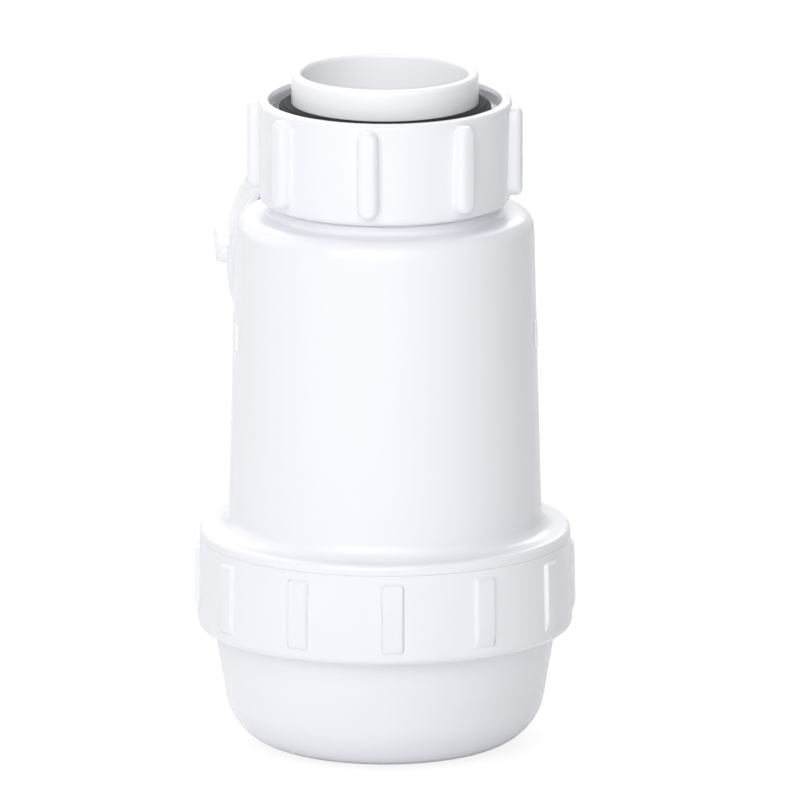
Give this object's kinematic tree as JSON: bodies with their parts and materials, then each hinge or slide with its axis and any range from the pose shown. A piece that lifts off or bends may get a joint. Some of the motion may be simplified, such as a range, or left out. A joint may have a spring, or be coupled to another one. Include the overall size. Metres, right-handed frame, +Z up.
{
  "type": "shallow bottle trap",
  "caption": "White plastic shallow bottle trap with a ribbed union nut on its inlet spigot, a rear compression outlet and a ribbed screw-off bottle cup.",
  "frame": {"origin": "centre of the flat foot of the bottle cup, under the inlet axis", "axes": "+Z up along the inlet spigot and the body, +Y out of the rear outlet, +X to the right seen from the front"},
  "size_m": [0.079, 0.095, 0.1418],
  "materials": {
    "white_plastic": "satin moulded polypropylene",
    "black_rubber": "matt",
    "clear_ring": "plain natural polyethylene"
  },
  "bodies": {
    "trap": {"trap_body": "white_plastic", "dip_tube": "white_plastic", "inlet_washer": "black_rubber", "outlet_seal": "black_rubber"},
    "inlet_nut": {"inlet_nut": "white_plastic"},
    "cup_seal": {"cup_seal": "black_rubber"},
    "bottle_cup": {"bottle_cup": "white_plastic"},
    "slip_ring": {"outlet_slip_ring": "clear_ring"},
    "outlet_nut": {"outlet_nut": "white_plastic"}
  },
  "joints": [
    {"name": "inlet_nut_spin", "type": "hinge", "parent": "trap", "child": "inlet_nut", "pos_m": [0, 0, 0.1146], "axis": [0, 0, 1], "continuous": true},
    {"name": "cup_drop", "type": "slide", "parent": "trap", "child": "cup_seal", "axis": [0, 0, -1], "range_m": [0, 0.012]},
    {"name": "cup_turn", "type": "hinge", "parent": "cup_seal", "child": "bottle_cup", "pos_m": [0, 0, 0.027], "axis": [0, 0, -1], "range_deg": [0, 1080]},
    {"name": "outlet_nut_back", "type": "slide", "parent": "trap", "child": "slip_ring", "axis": [0, 1, 0], "range_m": [0, 0.01]},
    {"name": "outlet_nut_turn", "type": "hinge", "parent": "slip_ring", "child": "outlet_nut", "pos_m": [-0.0052, 0.0515, 0.0933], "axis": [0, 1, 0], "range_deg": [0, 1560]}
  ],
  "couplings": [
    {"joint": "cup_turn", "follows": "cup_drop", "rad_per_m": 1570.8},
    {"joint": "outlet_nut_turn", "follows": "outlet_nut_back", "rad_per_m": 2721.2}
  ]
}
